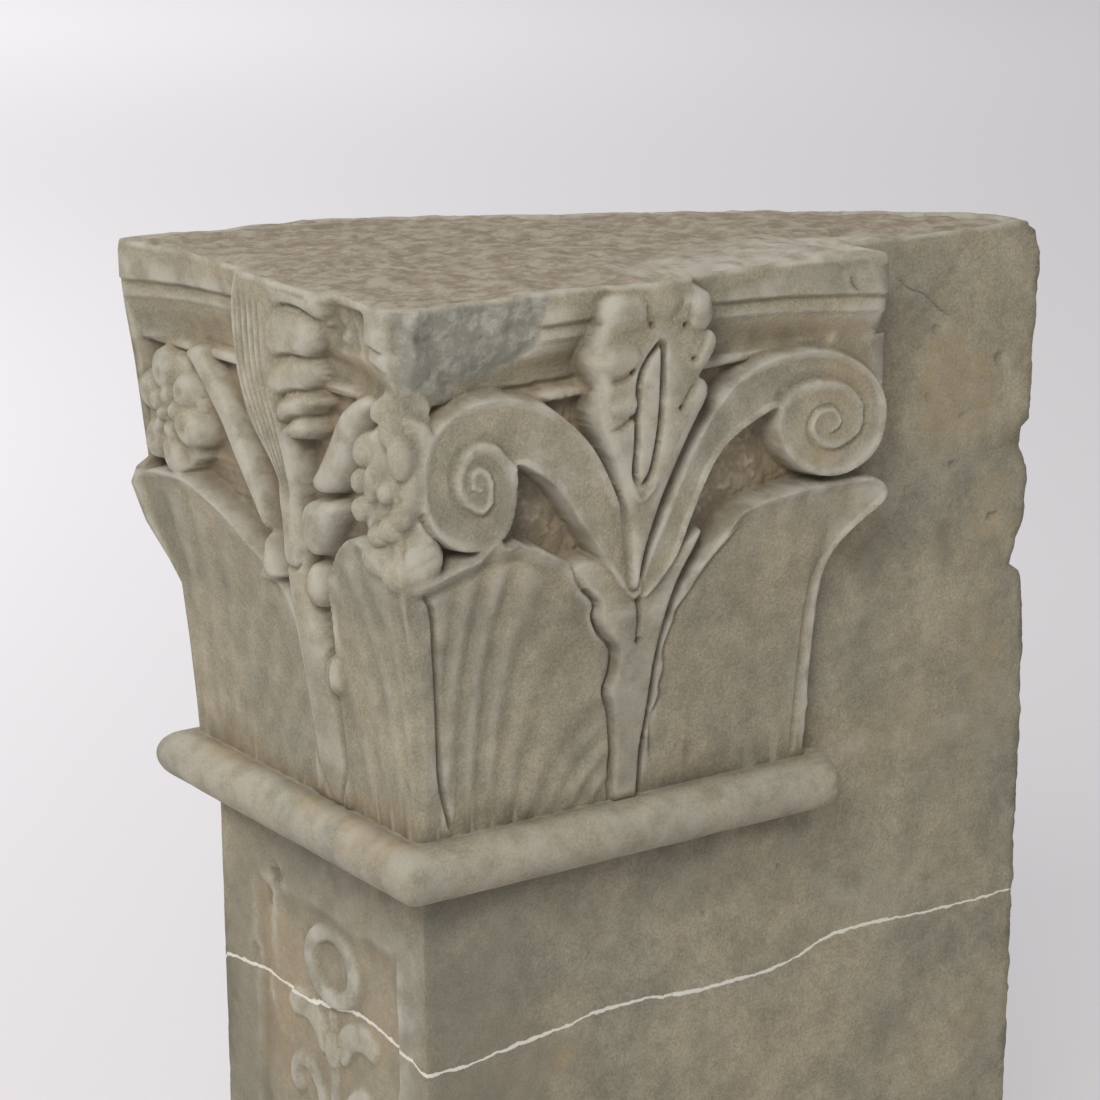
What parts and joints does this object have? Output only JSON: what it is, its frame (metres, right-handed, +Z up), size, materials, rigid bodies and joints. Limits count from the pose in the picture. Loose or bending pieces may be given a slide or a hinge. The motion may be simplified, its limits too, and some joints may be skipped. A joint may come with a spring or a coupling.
{
  "type": "carved stone column",
  "caption": "Upper part of a square stone column with a leaf and scroll capital, a neck roll, a sunk panel on its front face and a plain slab running on from its side.",
  "frame": {"origin": "middle of the box round the object, on the cut underside", "axes": "+Z up the shaft; the carved front face with the sunk panel looks along -X, and the face with the volutes and the slab looks along -Y"},
  "size_m": [0.6268, 0.4043, 1],
  "materials": {
    "sandstone": "grey-beige sandstone, rubbed smooth on plain faces, with brown and ochre dirt in the hollows and pale worn edges"
  },
  "bodies": {
    "root": {"stone_column": "sandstone"}
  },
  "joints": []
}
